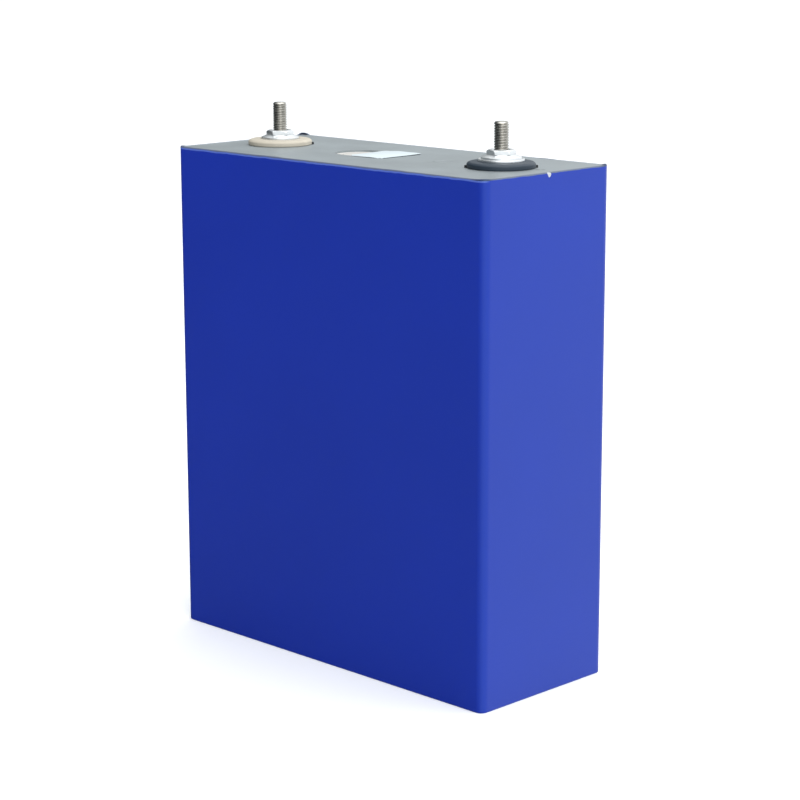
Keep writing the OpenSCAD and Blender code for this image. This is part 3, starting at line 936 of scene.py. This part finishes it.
def nut(side):
    """Thin hexagon with chamfered corners, countersunk bore and a flared collar below."""
    node = side + "_nut"
    low, high = node_box(node)
    x0 = centre_x(node)
    top, bottom = high[2], low[2]
    hex_z = node_box(side + "_cone_washer")[1][2] + 0.01
    turn = math.radians(HEX_TURN)
    outline = [(p[0] * math.cos(turn) - p[1] * math.sin(turn),
                p[0] * math.sin(turn) + p[1] * math.cos(turn))
               for p in hex_outline(HEX_FLATS, 0.35)]
    bore = 3.04                        # clears the stud's thread
    flat = 4.75                        # edge of the flat top, inside the corner chamfer
    slope = math.tan(math.radians(30))

    def circle(r, z):
        return [(x0 + r * math.cos(a), r * math.sin(a), z) for a in angles]

    angles = [math.atan2(p[1], p[0]) for p in outline]
    reach = [math.hypot(*p) for p in outline]

    def hexagon(z, lower=0.0, shrink=0.0):
        out = []
        for a, r in zip(angles, reach):
            rr = r - shrink
            drop = lower * max(0.0, (rr - flat)) * slope
            out.append((x0 + rr * math.cos(a), rr * math.sin(a), z - drop))
        return out

    def blend_ring(t):
        """Between the chamfer's edge and the flat top."""
        out = []
        for a, r in zip(angles, reach):
            rr = r + (flat - r) * t
            out.append((x0 + rr * math.cos(a), rr * math.sin(a),
                        top - max(0.0, rr - flat) * slope))
        return out

    lip_r = COLLAR_R + 0.24            # flared end that holds the conical washer
    rings = [
        hexagon(hex_z, shrink=0.08), hexagon(hex_z + 0.08), hexagon(top - 0.05, 1.0),
        blend_ring(0.1), blend_ring(0.55), blend_ring(0.95), circle(flat - 0.06, top),
        circle(bore + 0.52, top), circle(bore + 0.46, top - 0.03), circle(bore + 0.03, top - 0.45),
        circle(bore, top - 0.5), circle(bore, bottom + 0.4), circle(bore + 0.4, bottom + 0.005),
        circle(COLLAR_R + 0.2, bottom + 0.005), circle(lip_r, bottom + 0.06),
        circle(lip_r, bottom + 0.14), circle(COLLAR_R, bottom + 0.29),
        circle(COLLAR_R, hex_z - 0.1), circle(COLLAR_R + 0.05, hex_z),
    ]
    verts, faces = loft(rings)
    obj = new_object(side + "_hex_nut", verts, faces, side + "_nut", MATERIALS["plated_steel"],
                     sharp=25)
    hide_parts(node)


def cone_washer(side):
    """Conical washer, captive on the nut's collar, with eased edges."""
    node = side + "_cone_washer"
    low, high = node_box(node)
    r, z0, z1 = radius(node), low[2], high[2]
    profile = fillet([(4.7, z0 + 0.005), (r, z0 + 0.005), (r, z0 + 0.68), (5.15, z1 - 0.01),
                      (4.28, z1 - 0.01), (4.28, z0 + 0.56), (4.7, z0 + 0.56)],
                     [0.05, 0.14, 0.2, 0.15, 0.05, 0, 0], 6)
    obj = lathe(side + "_cone_disc", profile, centre_x(node), side + "_washer",
                MATERIALS["plated_steel"], n=160)
    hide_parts(node)


def flat_washer():
    """Flat washer under the negative nut, with one rolled and one sharper edge."""
    node = "neg_washer"
    low, high = node_box(node)
    r, z0, z1 = radius(node), low[2] + 0.005, high[2] - 0.005
    profile = fillet([(3.2, z0), (r, z0), (r, z1), (3.2, z1)], [0.08, 0.12, 0.28, 0.15], 6)
    obj = lathe("neg_flat_washer", profile, centre_x(node), "neg_washer",
                MATERIALS["plated_steel"], n=160)
    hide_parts(node)


for side, slot in (("pos", "ring_cream"), ("neg", "ring_black")):
    gasket(side)
    ring(side, slot)
    stud(side)
    cone_washer(side)
    nut(side)
flat_washer()


# ---- floor, light and camera ----

FLOOR_HALF = 30.0                         # metres
WORLD_STRENGTH = 1.3
BRIGHT_SIDE = (0.79, 0.38, 0.48)          # direction of the brightest part of the room
CAMERA_AT = (0.6491, -0.64616, 0.30315)   # metres
CAMERA_TURN = (77.7640, 0.1075, 44.7567)   # degrees about X, Y and Z
LENS, SENSOR = 103.0041, 36               # millimetres


def floor():
    size = FLOOR_HALF
    mesh = bpy.data.meshes.new("floor")
    mesh.from_pydata([(-size, -size, 0), (size, -size, 0), (size, size, 0), (-size, size, 0)],
                     [], [(0, 1, 2, 3)])
    obj = bpy.data.objects.new("floor", mesh)
    bpy.context.scene.collection.objects.link(obj)
    finish, _, _, shader = material("floor", (0.95, 0.955, 0.96), 0.8, specular=0.1)
    shader.inputs["Emission Color"].default_value = (1, 1, 1, 1)
    shader.inputs["Emission Strength"].default_value = 0.12
    mesh.materials.append(finish)
    obj.visible_glossy = False


def area(name, at, target, size, power):
    data = bpy.data.lights.new(name, "AREA")
    data.shape = "RECTANGLE"
    data.size, data.size_y = size
    data.energy = power
    obj = bpy.data.objects.new(name, data)
    obj.location = at
    obj.rotation_euler = (Vector(target) - Vector(at)).to_track_quat("-Z", "Y").to_euler()
    bpy.context.scene.collection.objects.link(obj)


def world():
    """Even studio light that falls off towards the left, where the room is dark."""
    w = bpy.data.worlds.new("studio")
    w.use_nodes = True
    nodes, links = w.node_tree.nodes, w.node_tree.links
    back = nodes["Background"]
    tc = nodes.new("ShaderNodeTexCoord")
    dot = nodes.new("ShaderNodeVectorMath")
    dot.operation = "DOT_PRODUCT"
    links.new(tc.outputs["Generated"], dot.inputs[0])
    dot.inputs[1].default_value = Vector(BRIGHT_SIDE).normalized()
    tone = ramp(nodes, links, remap(nodes, links, dot.outputs["Value"], 0.0, 1.0, -1.0, 1.0),
                [(0.0, (0.04, 0.045, 0.05)), (0.34, (0.08, 0.095, 0.1)),
                 (0.53, (0.8, 0.82, 0.83)), (0.78, (0.97, 1.0, 1.02))])
    links.new(tone, back.inputs["Color"])
    back.inputs["Strength"].default_value = WORLD_STRENGTH
    bpy.context.scene.world = w


def camera():
    data = bpy.data.cameras.new("camera")
    data.lens = LENS
    data.sensor_width = SENSOR
    data.clip_start, data.clip_end = 0.05, 50
    obj = bpy.data.objects.new("camera", data)
    turn = Euler([math.radians(angle) for angle in CAMERA_TURN]).to_matrix().to_4x4()
    obj.matrix_world = Matrix.Translation(CAMERA_AT) @ turn
    bpy.context.scene.collection.objects.link(obj)
    bpy.context.scene.camera = obj


floor()
world()
area("key", (1.5, -0.9, 1.4), (0, 0, 0.12), (1.2, 1.2), 13)
area("top", (0.1, 0.3, 2.2), (0, 0, 0.2), (2.0, 2.0), 22)
camera()
bpy.context.scene.view_settings.view_transform = "Standard"
